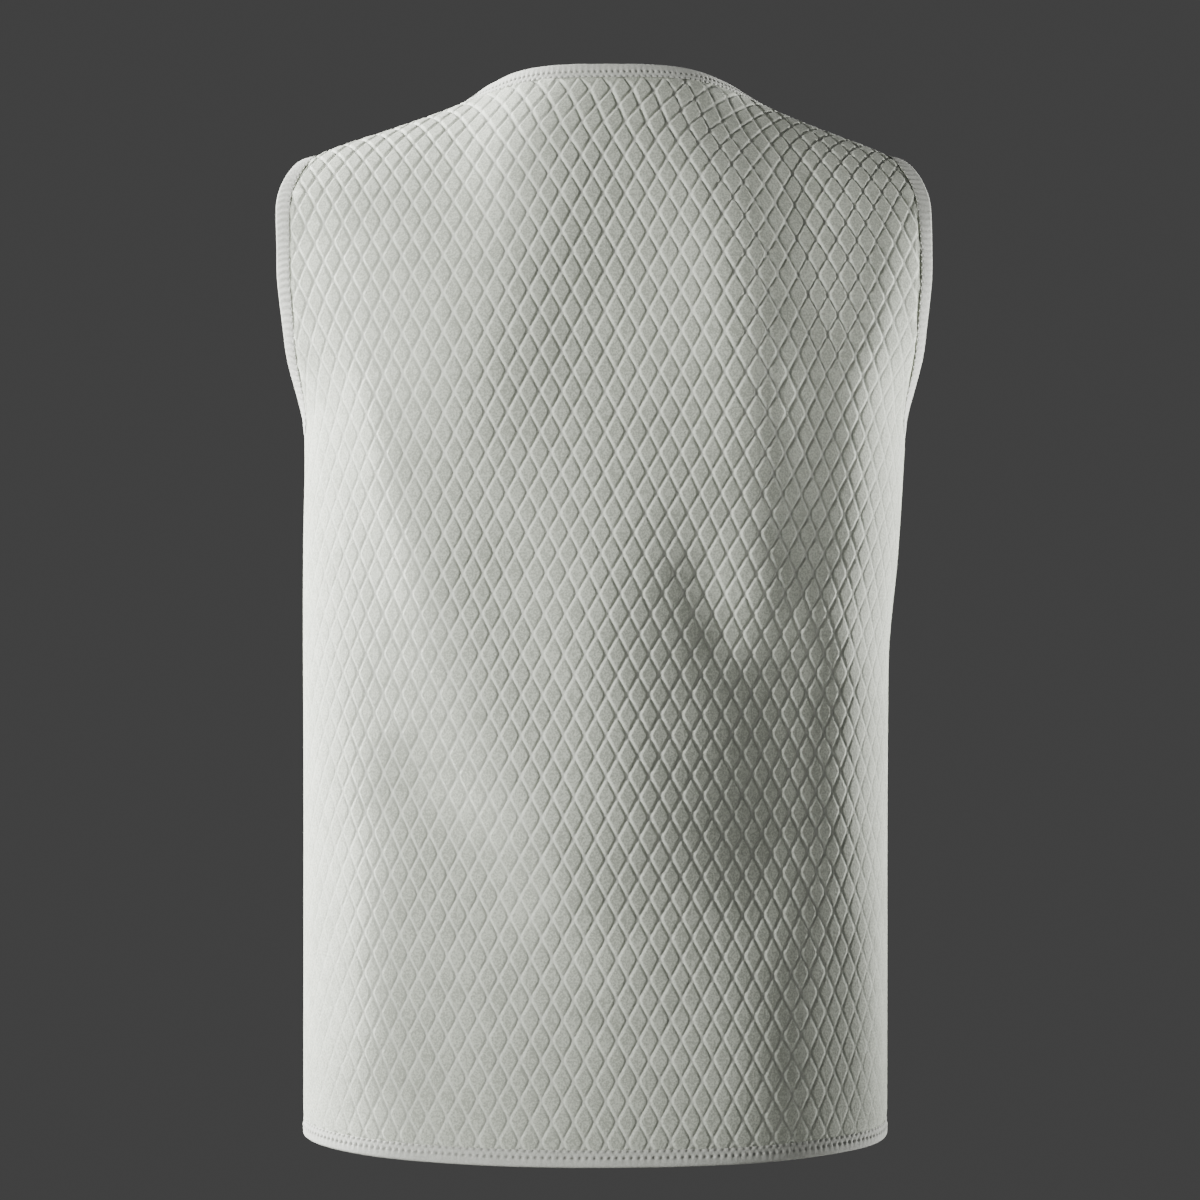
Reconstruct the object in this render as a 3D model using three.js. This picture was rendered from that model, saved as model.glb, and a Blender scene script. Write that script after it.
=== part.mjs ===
// A sleeveless quilted vest in the shape it has when worn, in millimetres.
// +Z is up, the wearer faces -Y, and +X is the wearer's left.
// The origin is the middle of the neck opening, level with the shoulder seams at the neck.
// A back and a front panel of padded cloth meet at the side and shoulder seams,
// and a folded tape binds the neckline, both armholes and the hem.
import * as THREE from "three";

const { clamp, lerp, smoothstep } = THREE.MathUtils;

// Finished sizes
const HEM_HEIGHT = -639;
const UNDERARM_HEIGHT = -202;
const SHOULDER_TIP_HEIGHT = -54;
const NAPE_HEIGHT = 12;
const FRONT_NECK_HEIGHT = -92;
const NECK_HALF_WIDTH = 86;
const SHOULDER_HALF_WIDTH = 207;
const TIP_ROUND = 16;
const TIP_START = 0.6;

// Cloth and tape
const WALL = 3;
const PRESSED_WALL = 1.2;
const TAPE = 1;
const GAP = 0.3;
const TAPE_SLACK = 0.6;
const SEAM_GAP = 0.4;
const SEAM_ANGLE = 0.004;
const BINDING_WIDTH = 10.5;
const EDGE_STRIP = 9.8;
const FOLD_FADE = 45;
const FOLD_END_FADE = 0.3;
const FOLD_END_SHARE = 0.25;

// Mesh density
const ARC_STEPS = 48;
const EDGE_STEPS = 240;
const NECK_COLUMNS = 9;
const SHOULDER_COLUMNS = 9;
const TORSO_ROWS = { back: 17, front: 9 };
const YOKE_ROWS = 14;
const PROBE = 0.012;
const FIELD_PASSES = 6;
const ARMHOLE_CROWDING = 0.4;
const FOLD_STEPS = 6;
const TORSO_TOP_ROWS = 1.2;
const ROW_BEND = 4;
const LENGTH_SLACK = 1e-9;

// Level sections of the body under the cloth, from hem to neck.
// Above the underarm they run on past the armhole, where the cloth is cut away.
const SECTIONS = [
  { height: -639, halfWidth: 180, back: 120, front: 106, square: 2.08 },
  { height: -480, halfWidth: 180, back: 118, front: 106, square: 2.1 },
  { height: -350, halfWidth: 180.5, back: 112, front: 108, square: 2.15 },
  { height: -278, halfWidth: 183.5, back: 110, front: 112, square: 2.2 },
  { height: -202, halfWidth: 185.5, back: 111, front: 114, square: 2.3 },
  { height: -150, halfWidth: 213, back: 112, front: 114, square: 2.3 },
  { height: -100, halfWidth: 236, back: 112, front: 112, square: 2.3 },
  { height: 60, halfWidth: 240, back: 112, front: 108, square: 2.3 },
];

// How far the whole section stands towards the wearer's left.
const SWAY = [
  { height: -639, shift: 3 },
  { height: -350, shift: 2.6 },
  { height: -278, shift: -0.5 },
  { height: -202, shift: -3 },
  { height: -100, shift: -2.6 },
  { height: -32, shift: -1.4 },
  { height: -14, shift: -4.5 },
  { height: 0, shift: -7 },
  { height: 13, shift: -4 },
];

// Height of the shoulder line by cloth distance from the centre line.
// Inside the neck it is a ridge that the neckline cuts away. Its first row mirrors the third.
const RIDGE_HEIGHT = 60;
const SHOULDER_LINE = [
  { across: -14, height: 58.4 },
  { across: 0, height: RIDGE_HEIGHT },
  { across: 14, height: 58.4 },
  { across: 28, height: 52.8 },
  { across: 42, height: 43.2 },
  { across: 56, height: 30.3 },
  { across: 70, height: 15.6 },
  { across: 86, height: 2.5 },
  { across: 131, height: -16 },
  { across: 160, height: -25.5 },
  { across: 189, height: -35.5 },
  { across: 200, height: -38.5 },
  { across: 208, height: -40 },
];

// Each armhole edge leaves the side seam level, stands upright at the turn height,
// is scooped in by a share of its cut on the way up, and rounds in to the shoulder tip.
const ARMHOLES = {
  back: { turn: 74, scoop: 0.02 },
  front: { turn: 74, scoop: 0.16 },
};

// Soft folds: each bends from a first point through a second to a third, seen from behind.
// It stands proud of the cloth by its height, or is sunk where that is negative.
const FOLDS = {
  back: [
    { x1: 16, z1: 12, x2: 52, z2: -100, x3: 104, z3: -250, spread: 46, height: 9 },
    { x1: 114, z1: -230, x2: 74, z2: -350, x3: 6, z3: -520, spread: 34, height: 9 },
    { x1: 132, z1: -385, x2: 90, z2: -440, x3: 22, z3: -510, spread: 26, height: -7 },
    { x1: 206, z1: -60, x2: 204, z2: -130, x3: 196, z3: -210, spread: 56, height: -15 },
    { x1: -210, z1: -60, x2: -208, z2: -130, x3: -198, z3: -215, spread: 30, height: -16 },
    { x1: -64, z1: 0, x2: -80, z2: -100, x3: -94, z3: -270, spread: 28, height: 5 },
    { x1: -112, z1: 0, x2: -118, z2: -130, x3: -128, z3: -270, spread: 20, height: -3 },
    { x1: 4, z1: -240, x2: -4, z2: -380, x3: -30, z3: -510, spread: 44, height: 10 },
    { x1: -84, z1: -250, x2: -98, z2: -295, x3: -106, z3: -325, spread: 20, height: 3 },
    { x1: -108, z1: -295, x2: -118, z2: -400, x3: -112, z3: -520, spread: 38, height: -11 },
    { x1: -124, z1: -320, x2: -126, z2: -430, x3: -124, z3: -550, spread: 26, height: 4 },
    { x1: 134, z1: -430, x2: 136, z2: -520, x3: 136, z3: -620, spread: 30, height: 5 },
    { x1: -62, z1: 10, x2: -74, z2: -90, x3: -78, z3: -215, spread: 50, height: 7 },
    { x1: -98, z1: -490, x2: -100, z2: -560, x3: -100, z3: -650, spread: 45, height: 5 },
    { x1: -48, z1: -270, x2: -68, z2: -320, x3: -82, z3: -355, spread: 17, height: -4.5 },
    { x1: -112, z1: -312, x2: -136, z2: -328, x3: -160, z3: -352, spread: 15, height: 4 },
    { x1: -170, z1: -470, x2: -174, z2: -560, x3: -174, z3: -650, spread: 22, height: 9 },
  ],
  front: [
    { x1: 120, z1: -230, x2: 90, z2: -315, x3: 50, z3: -400, spread: 36, height: 5 },
    { x1: -120, z1: -230, x2: -90, z2: -325, x3: -56, z3: -420, spread: 36, height: 5 },
    { x1: -90, z1: -470, x2: -97, z2: -535, x3: -100, z3: -600, spread: 32, height: 4 },
    { x1: 84, z1: -460, x2: 92, z2: -530, x3: 96, z3: -600, spread: 32, height: 4 },
  ],
};

const FACING = { back: 1, front: -1 };
const QUARTER_TURN = Math.PI / 2;
const TORSO_HEIGHT = UNDERARM_HEIGHT - HEM_HEIGHT;
const ARMHOLE_HEIGHT = SHOULDER_TIP_HEIGHT - UNDERARM_HEIGHT;

// Reads one column of a table against another, along a curve that never overshoots its rows.
function follow(table, from, to, at) {
  const last = table.length - 1;
  const place = clamp(at, table[0][from], table[last][from]);
  let row = 0;
  while (row < last - 1 && table[row + 1][from] < place) row++;
  const secant = (k) => (table[k + 1][to] - table[k][to]) / (table[k + 1][from] - table[k][from]);
  const slope = (k) => {
    if (k === 0 || k === last) return secant(Math.min(k, last - 1));
    const [below, above] = [secant(k - 1), secant(k)];
    return below * above > 0 ? (2 * below * above) / (below + above) : 0;
  };
  const [low, high] = [table[row], table[row + 1]];
  const span = high[from] - low[from];
  const t = (place - low[from]) / span;
  const ease = t * t * (3 - 2 * t);
  const bend = slope(row) * t * (1 - t) ** 2 - slope(row + 1) * t * t * (1 - t);
  return low[to] + (high[to] - low[to]) * ease + span * bend;
}

// A quarter of a level section, from the centre line to the side, with the distance along it.
function sectionArc(face, height) {
  const halfWidth = follow(SECTIONS, "height", "halfWidth", height);
  const depth = follow(SECTIONS, "height", face, height);
  const power = 2 / follow(SECTIONS, "height", "square", height);
  const arc = [{ x: 0, y: depth, along: 0 }];
  for (let k = 1; k <= ARC_STEPS; k++) {
    const angle = (QUARTER_TURN * k) / ARC_STEPS;
    const x = halfWidth * Math.sin(angle) ** power;
    const y = depth * Math.max(Math.cos(angle), 0) ** power;
    const before = arc[k - 1];
    arc.push({ x, y, along: before.along + Math.hypot(x - before.x, y - before.y) });
  }
  return arc;
}

const sideReach = (face, height) => sectionArc(face, height)[ARC_STEPS].along;

const SIDE_LINE = {
  back: sideReach("back", UNDERARM_HEIGHT),
  front: sideReach("front", UNDERARM_HEIGHT),
};

// Straight runs along a fold, on a curve that bends through its middle point.
function foldRuns({ x1, z1, x2, z2, x3, z3 }) {
  const first = new THREE.Vector2(x1, z1);
  const last = new THREE.Vector2(x3, z3);
  const pull = new THREE.Vector2(2 * x2 - (x1 + x3) / 2, 2 * z2 - (z1 + z3) / 2);
  const points = new THREE.QuadraticBezierCurve(first, pull, last).getPoints(FOLD_STEPS);
  let walked = 0;
  const runs = points.slice(1).map((end, k) => {
    const start = points[k];
    const length = end.distanceTo(start);
    const before = walked;
    walked += length;
    return { start, way: end.clone().sub(start).divideScalar(length), length, before };
  });
  return { runs, whole: walked };
}

const withRuns = (fold) => ({ ...fold, ...foldRuns(fold) });
const LAID_FOLDS = { back: FOLDS.back.map(withRuns), front: FOLDS.front.map(withRuns) };

function foldAt(face, x, z) {
  let total = 0;
  for (const { runs, whole, spread, height } of LAID_FOLDS[face]) {
    let nearest = Infinity;
    let share = 0;
    for (const { start, way, length, before } of runs) {
      const along = clamp((x - start.x) * way.x + (z - start.y) * way.y, 0, length);
      const away = Math.hypot(x - start.x - along * way.x, z - start.y - along * way.y);
      if (away < nearest) {
        nearest = away;
        share = (before + along) / whole;
      }
    }
    const ends = smoothstep(Math.min(share, 1 - share), 0, FOLD_END_FADE);
    total += height * Math.exp(-((nearest / spread) ** 2)) * lerp(FOLD_END_SHARE, 1, ends);
  }
  return total;
}

// The middle of the cloth at a height, by cloth distance from the centre line.
// lean is 1 below the underarm and falls to 0 at the shoulder seam, where the cloth tops the shoulder.
function clothPoint(face, across, height, lean) {
  const arc = sectionArc(face, height);
  const reach = Math.min(Math.abs(across), arc[ARC_STEPS].along);
  let k = 0;
  while (k < ARC_STEPS - 1 && arc[k + 1].along < reach) k++;
  const t = (reach - arc[k].along) / (arc[k + 1].along - arc[k].along);
  const x = Math.sign(across) * lerp(arc[k].x, arc[k + 1].x, t);
  const depth = lerp(arc[k].y, arc[k + 1].y, t) * lean;
  const fold = foldAt(face, x, height) * smoothstep(depth, 0, FOLD_FADE);
  const sway = follow(SWAY, "height", "shift", height);
  return new THREE.Vector3(x + sway, FACING[face] * (depth + fold), height);
}

// The cloth by its place in the cutting pattern: across from the centre line, and up.
// up runs from -1 at the hem to 0 at the underarm, and to 1 at the top of the shoulder.
function patternPoint(face, { across, up }) {
  if (up <= 0) {
    const height = UNDERARM_HEIGHT + up * TORSO_HEIGHT;
    const stretch = sideReach(face, height) / SIDE_LINE[face];
    return clothPoint(face, across * stretch, height, 1);
  }
  const angle = Math.min(up * QUARTER_TURN, QUARTER_TURN - SEAM_ANGLE);
  const ridge = follow(SHOULDER_LINE, "across", "height", Math.abs(across));
  const height = UNDERARM_HEIGHT + (ridge - UNDERARM_HEIGHT) * Math.sin(angle);
  return clothPoint(face, across, height, Math.cos(angle));
}

// The cloth at a place with how it runs across and up there, felt towards the panel's middle.
function feel(face, place) {
  const side = place.across < 0 ? -1 : 1;
  const at = patternPoint(face, place);
  const nearer = patternPoint(face, { across: place.across - side, up: place.up });
  const lower = patternPoint(face, { across: place.across, up: place.up - PROBE });
  const alongAcross = at.clone().sub(nearer).multiplyScalar(side);
  const alongUp = at.clone().sub(lower).divideScalar(PROBE);
  const normal = alongUp.clone().cross(alongAcross).multiplyScalar(FACING[face]).normalize();
  return { at, alongAcross, alongUp, normal };
}

// The way into the cloth from a place on an edge, square to the edge, as a step in the pattern.
// clothSide is 1 where the cloth lies further out from the centre line, and -1 where it lies nearer.
function wayIn(face, place, tangent, clothSide) {
  const { at, alongAcross, alongUp, normal } = feel(face, place);
  const inward = normal.clone().cross(tangent).normalize();
  const inCloth = { across: place.across + clothSide * EDGE_STRIP, up: place.up - PROBE };
  const towards = patternPoint(face, inCloth).sub(at);
  inward.multiplyScalar(Math.sign(inward.dot(towards)));
  const [aa, au, uu] = [alongAcross.lengthSq(), alongAcross.dot(alongUp), alongUp.lengthSq()];
  const [ia, iu] = [inward.dot(alongAcross), inward.dot(alongUp)];
  const scale = aa * uu - au * au;
  return { across: (ia * uu - iu * au) / scale, up: (iu * aa - ia * au) / scale };
}

// The place one strip width in from an edge.
function stripField(face, edge, way) {
  const from = patternPoint(face, edge);
  let field = { across: edge.across + way.across, up: edge.up + way.up };
  for (let pass = 0; pass < FIELD_PASSES; pass++) {
    const scale = EDGE_STRIP / patternPoint(face, field).distanceTo(from);
    field = {
      across: edge.across + (field.across - edge.across) * scale,
      up: edge.up + (field.up - edge.up) * scale,
    };
  }
  return field;
}

// Places spread along an edge of the pattern, evenly or crowded towards both its ends.
function spread(face, edge, count, crowding) {
  const walk = [{ place: edge(0), along: 0 }];
  let before = patternPoint(face, edge(0));
  for (let k = 1; k <= EDGE_STEPS; k++) {
    const place = edge(k / EDGE_STEPS);
    const point = patternPoint(face, place);
    walk.push({ place, along: walk[k - 1].along + point.distanceTo(before) });
    before = point;
  }
  const total = walk[EDGE_STEPS].along;
  return Array.from({ length: count + 1 }, (_, k) => {
    const share = k / count - (crowding * Math.sin((2 * Math.PI * k) / count)) / (2 * Math.PI);
    return walk.find((step) => step.along >= total * share - LENGTH_SLACK).place;
  });
}

// The finished armhole edge, from the underarm to the shoulder tip.
function armholeEdge(face, t) {
  const up = t * t;
  const rise = ARMHOLE_HEIGHT * Math.sin(up * QUARTER_TURN);
  const side = SIDE_LINE[face] - SEAM_GAP / 2;
  const { turn, scoop } = ARMHOLES[face];
  const left = 1 - Math.min(rise / turn, 1);
  const cut = Math.sqrt(1 - left * left) + scoop * Math.sin((Math.PI * rise) / ARMHOLE_HEIGHT);
  const tip = TIP_ROUND * smoothstep(up, TIP_START, 1);
  return { across: lerp(side, SHOULDER_HALF_WIDTH, cut) - tip, up };
}

// The finished neckline, from the centre line to the shoulder seam.
const NECK_HEIGHT = { back: NAPE_HEIGHT, front: FRONT_NECK_HEIGHT };
const NECK_CURVE = {
  back: { inner: 2.2, outer: 0.8 },
  front: { inner: 1.8, outer: 0.75 },
};
function neckEdge(face, t) {
  const share = Math.sin(t * QUARTER_TURN);
  const reach = (NECK_HEIGHT[face] - UNDERARM_HEIGHT) / (RIDGE_HEIGHT - UNDERARM_HEIGHT);
  const lowest = Math.asin(reach) / QUARTER_TURN;
  const { inner, outer } = NECK_CURVE[face];
  return { across: NECK_HALF_WIDTH * share, up: lerp(lowest, 1, 1 - (1 - share ** inner) ** outer) };
}

// An edge with the line one strip width inside it, where the pressed cloth under the tape begins.
// Its first end runs straight down the pattern, and its last end along the shoulder seam.
function bandedEdge(face, places, clothSide) {
  const points = places.map((place) => patternPoint(face, place));
  const last = places.length - 1;
  return places.map((edge, k) => {
    if (k === 0) return { edge, field: stripField(face, edge, { across: 0, up: -PROBE }) };
    if (k === last) return { edge, field: stripField(face, edge, { across: clothSide, up: 0 }) };
    const tangent = points[k + 1].clone().sub(points[k - 1]);
    return { edge, field: stripField(face, edge, wayIn(face, edge, tangent, clothSide)) };
  });
}

function halfEdges(face) {
  const armholePlaces = spread(face, (t) => armholeEdge(face, t), YOKE_ROWS, ARMHOLE_CROWDING);
  const neckPlaces = spread(face, (t) => neckEdge(face, t), NECK_COLUMNS, 0);
  return {
    armhole: bandedEdge(face, armholePlaces, -1),
    neck: bandedEdge(face, neckPlaces, 1),
  };
}

const mirrored = ({ across, up }) => ({ across: -across, up });

// A panel: the columns run from the wearer's right to left, and the rows from hem to shoulder.
function panel(face) {
  const { armhole, neck } = halfEdges(face);
  const tip = armhole[YOKE_ROWS].field.across;
  const halfColumns = NECK_COLUMNS + SHOULDER_COLUMNS;
  const neckEnd = neck[NECK_COLUMNS].field.across / tip;
  const columns = [];
  for (let k = -halfColumns; k <= halfColumns; k++) {
    const step = Math.abs(k);
    const beyond = (step - NECK_COLUMNS) / SHOULDER_COLUMNS;
    const inNeck = step <= NECK_COLUMNS;
    const share = inNeck ? neck[step].field.across / tip : lerp(neckEnd, 1, beyond);
    columns.push({ share: Math.sign(k) * share, top: inNeck ? neck[step].field.up : 1 });
  }

  const spots = [];
  const quads = [];
  const add = (place, wall) => spots.push({ ...place, wall }) - 1;
  const join = (a, b, c, d) => quads.push(FACING[face] > 0 ? [a, d, c, b] : [a, b, c, d]);
  const sideEdge = armhole[0].edge.across;
  const hemField = -1 + (EDGE_STRIP + TAPE + GAP) / TORSO_HEIGHT;
  const hemEdge = -1 + (TAPE + GAP) / TORSO_HEIGHT;

  const rows = [];
  rows.push(columns.map(({ share }) => add({ across: share * sideEdge, up: hemEdge }, PRESSED_WALL)));
  const torsoTop = -TORSO_TOP_ROWS / TORSO_ROWS[face];
  for (let j = 0; j < TORSO_ROWS[face]; j++) {
    const up = lerp(hemField, torsoTop, j / (TORSO_ROWS[face] - 1));
    const wall = j === 0 ? PRESSED_WALL : WALL;
    rows.push(columns.map(({ share }) => add({ across: share * sideEdge, up }, wall)));
  }
  for (let j = 0; j <= YOKE_ROWS; j++) {
    const outer = armhole[j].field;
    rows.push(columns.map(({ share, top }) => {
      const up = lerp((top * j) / YOKE_ROWS, outer.up, Math.abs(share) ** ROW_BEND);
      const bound = Math.abs(share) === 1 || (j === YOKE_ROWS && Math.abs(share) <= neckEnd);
      return add({ across: share * outer.across, up }, bound ? PRESSED_WALL : WALL);
    }));
  }
  for (let j = 1; j < rows.length; j++) {
    for (let k = 1; k < columns.length; k++) {
      join(rows[j - 1][k - 1], rows[j - 1][k], rows[j][k], rows[j][k - 1]);
    }
  }

  const last = columns.length - 1;
  const yoke = rows.slice(-YOKE_ROWS - 1);
  const leftEdge = armhole.map(({ edge }) => add(edge, PRESSED_WALL));
  const rightEdge = armhole.map(({ edge }) => add(mirrored(edge), PRESSED_WALL));
  for (let j = 1; j <= YOKE_ROWS; j++) {
    join(yoke[j - 1][last], leftEdge[j - 1], leftEdge[j], yoke[j][last]);
    join(rightEdge[j - 1], yoke[j - 1][0], yoke[j][0], rightEdge[j]);
  }
  const topRow = yoke[YOKE_ROWS].slice(SHOULDER_COLUMNS, last - SHOULDER_COLUMNS + 1);
  const neckSpots = topRow.map((_, k) => {
    const step = k - NECK_COLUMNS;
    const { edge } = neck[Math.abs(step)];
    return add(step < 0 ? mirrored(edge) : edge, PRESSED_WALL);
  });
  for (let k = 1; k < topRow.length; k++) {
    join(topRow[k - 1], topRow[k], neckSpots[k], neckSpots[k - 1]);
  }

  const pairs = (edges, fields) => edges.map((edge, k) => station(face, spots[edge], spots[fields[k]]));
  return {
    geometry: wallGeometry(face, spots, quads),
    hem: pairs(rows[0], rows[1]),
    left: pairs(leftEdge, yoke.map((row) => row[last])),
    right: pairs(rightEdge, yoke.map((row) => row[0])),
    neck: pairs(neckSpots, topRow),
  };
}

// Cuts a quad in two along the diagonal that stands further out,
// so that a tape and the cloth under it are creased the same way.
function splitQuad(points, [a, b, c, d], outward) {
  const rise = points[a].clone().add(points[c]).sub(points[b]).sub(points[d]).dot(outward);
  return rise > 0 ? [[a, b, c], [a, c, d]] : [[b, c, d], [b, d, a]];
}

// Closed wall over a set of quads: outer face, inner face, and a rim round their border.
function wallGeometry(face, spots, quads) {
  const felt = spots.map((spot) => feel(face, spot));
  const shifted = (sign) => felt.map(({ at, normal }, k) => {
    return at.clone().addScaledVector(normal, (sign * spots[k].wall) / 2);
  });
  const points = [...shifted(1), ...shifted(-1)];
  const inner = spots.length;
  const faces = [];
  const edges = new Set();
  for (const quad of quads) {
    for (const [a, b, c] of splitQuad(points, quad, felt[quad[0]].normal)) {
      faces.push([a, b, c], [c + inner, b + inner, a + inner]);
    }
    quad.forEach((from, k) => edges.add(`${from} ${quad[(k + 1) % 4]}`));
  }
  for (const edge of edges) {
    const [a, b] = edge.split(" ").map(Number);
    if (!edges.has(`${b} ${a}`)) faces.push([b, a, a + inner], [b, a + inner, b + inner]);
  }
  return facetedGeometry(points, faces);
}

function facetedGeometry(points, faces) {
  const geometry = new THREE.BufferGeometry();
  geometry.setAttribute("position", new THREE.Float32BufferAttribute(points.flatMap((p) => p.toArray()), 3));
  geometry.setIndex(faces.flat());
  geometry.computeVertexNormals();
  return geometry;
}

// Where a tape sits on an edge: the edge itself, the way into the cloth, and the way out of it.
function station(face, edge, field) {
  const onEdge = feel(face, edge);
  const onField = feel(face, field);
  const inward = onField.at.clone().sub(onEdge.at).normalize();
  const outward = onEdge.normal.clone().add(onField.normal);
  outward.addScaledVector(inward, -outward.dot(inward)).normalize();
  return { at: onEdge.at, inward, outward };
}

function meanStation(one, other) {
  const inward = one.inward.clone().add(other.inward).normalize();
  const outward = one.outward.clone().add(other.outward);
  outward.addScaledVector(inward, -outward.dot(inward)).normalize();
  return { at: one.at.clone().lerp(other.at, 0.5), inward, outward };
}

// One ring of stations from two runs that start at the same seam and end at the other.
function ring(run, back) {
  const last = run.length - 1;
  const there = run.slice(1, last);
  const home = back.slice(1, back.length - 1).reverse();
  return [
    meanStation(run[0], back[0]),
    ...there,
    meanStation(run[last], back[back.length - 1]),
    ...home,
  ];
}

// Folded tape round an edge, as distances into the cloth and out from its middle.
const CHANNEL = PRESSED_WALL / 2 + TAPE_SLACK;
const CREASE = -TAPE - GAP;
const LIP = BINDING_WIDTH + CREASE;
const TAPE_PROFILE = [
  { inward: LIP, outward: CHANNEL + TAPE },
  { inward: CREASE, outward: CHANNEL + TAPE },
  { inward: CREASE, outward: -CHANNEL - TAPE },
  { inward: LIP, outward: -CHANNEL - TAPE },
  { inward: LIP, outward: -CHANNEL },
  { inward: -GAP, outward: -CHANNEL },
  { inward: -GAP, outward: CHANNEL },
  { inward: LIP, outward: CHANNEL },
];

function tapeGeometry(stations) {
  const size = TAPE_PROFILE.length;
  const points = stations.flatMap(({ at, inward, outward }) => TAPE_PROFILE.map((corner) => {
    return at.clone().addScaledVector(inward, corner.inward).addScaledVector(outward, corner.outward);
  }));
  const faces = [];
  stations.forEach(({ outward }, k) => {
    const here = k * size;
    const next = ((k + 1) % stations.length) * size;
    for (let c = 0; c < size; c++) {
      const d = (c + 1) % size;
      faces.push(...splitQuad(points, [here + c, next + c, next + d, here + d], outward));
    }
  });
  return facetedGeometry(points, faces);
}

const vest = new THREE.Group();
vest.name = "vest";

function addPiece(name, geometry, color) {
  const material = new THREE.MeshStandardMaterial({ color, roughness: 0.9, metalness: 0 });
  const mesh = new THREE.Mesh(geometry, material);
  mesh.name = name;
  vest.add(mesh);
}

const CLOTH_COLOUR = 0xd6d7d2;
const TAPE_COLOUR = 0xcfd0cb;
const back = panel("back");
const front = panel("front");
addPiece("back_panel", back.geometry, CLOTH_COLOUR);
addPiece("front_panel", front.geometry, CLOTH_COLOUR);
addPiece("neck_binding", tapeGeometry(ring(back.neck, front.neck).reverse()), TAPE_COLOUR);
addPiece("armhole_binding_left", tapeGeometry(ring(back.left, front.left)), TAPE_COLOUR);
addPiece("armhole_binding_right", tapeGeometry(ring(back.right, front.right).reverse()), TAPE_COLOUR);
addPiece("hem_binding", tapeGeometry(ring(back.hem, front.hem)), TAPE_COLOUR);

export default vest;
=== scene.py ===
"""Quilted vest: fine cloth panels and stitched bindings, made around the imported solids."""
from collections import namedtuple

import bpy
import numpy as np
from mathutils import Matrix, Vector
from mathutils.bvhtree import BVHTree


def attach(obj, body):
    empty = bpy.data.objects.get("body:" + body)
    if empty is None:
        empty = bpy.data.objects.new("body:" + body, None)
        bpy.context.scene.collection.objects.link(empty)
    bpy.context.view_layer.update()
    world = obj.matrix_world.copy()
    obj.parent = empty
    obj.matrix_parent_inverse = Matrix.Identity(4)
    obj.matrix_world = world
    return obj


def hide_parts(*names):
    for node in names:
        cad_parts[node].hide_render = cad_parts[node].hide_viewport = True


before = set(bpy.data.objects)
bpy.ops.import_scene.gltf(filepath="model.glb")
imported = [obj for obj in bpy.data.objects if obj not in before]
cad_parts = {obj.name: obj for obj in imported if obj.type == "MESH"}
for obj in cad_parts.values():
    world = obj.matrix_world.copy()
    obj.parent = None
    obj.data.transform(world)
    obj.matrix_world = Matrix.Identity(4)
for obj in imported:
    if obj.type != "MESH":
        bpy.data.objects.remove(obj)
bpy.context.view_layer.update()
MM = 0.001
QUARTER_TURN = np.pi / 2
FACES = ("back", "front")
FACING = {"back": 1.0, "front": -1.0}
SIDES = {"left": 1, "right": -1}

# Cut and form of the vest, in millimetres, from the same sizes as the solids
HEM_HEIGHT = -639.0
UNDERARM_HEIGHT = -202.0
SHOULDER_TIP_HEIGHT = -54.0
NAPE_HEIGHT = 12.0
FRONT_NECK_HEIGHT = -92.0
RIDGE_HEIGHT = 60.0
TORSO_HEIGHT = UNDERARM_HEIGHT - HEM_HEIGHT
ARMHOLE_HEIGHT = SHOULDER_TIP_HEIGHT - UNDERARM_HEIGHT
BODY_MIDDLE = (HEM_HEIGHT + SHOULDER_TIP_HEIGHT) / 2
NECK_HALF_WIDTH = 86.0
SHOULDER_HALF_WIDTH = 207.0
NECK_HEIGHT = {"back": NAPE_HEIGHT, "front": FRONT_NECK_HEIGHT}
NECK_POWERS = {"back": (2.2, 0.8), "front": (1.8, 0.75)}
ARMHOLES = {"back": {"turn": 74.0, "scoop": 0.02}, "front": {"turn": 74.0, "scoop": 0.16}}
TIP_ROUND = 16.0
TIP_START = 0.6
# The panels stop just short of the shoulder's ridge, as a share of the way up to it
SEAM_UP = 0.999

SECTIONS = {
    "height": (-639, -480, -350, -278, -202, -150, -100, 60),
    "half_width": (180, 180, 180.5, 183.5, 185.5, 213, 236, 240),
    "back": (120, 118, 112, 110, 111, 112, 112, 112),
    "front": (106, 106, 108, 112, 114, 114, 112, 108),
    "square": (2.08, 2.1, 2.15, 2.2, 2.3, 2.3, 2.3, 2.3),
}
SWAY = {
    "height": (-639, -350, -278, -202, -100, -32, -14, 0, 13),
    "shift": (3, 2.6, -0.5, -3, -2.6, -1.4, -4.5, -7, -4),
}
# Height of the shoulder line by cloth distance from the centre line; its first place mirrors the third
SHOULDER_LINE = {
    "across": (-14, 0, 14, 28, 42, 56, 70, 86, 131, 160, 189, 200, 208),
    "height": (58.4, 60, 58.4, 52.8, 43.2, 30.3, 15.6, 2.5, -16, -25.5, -35.5, -38.5, -40),
}

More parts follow.
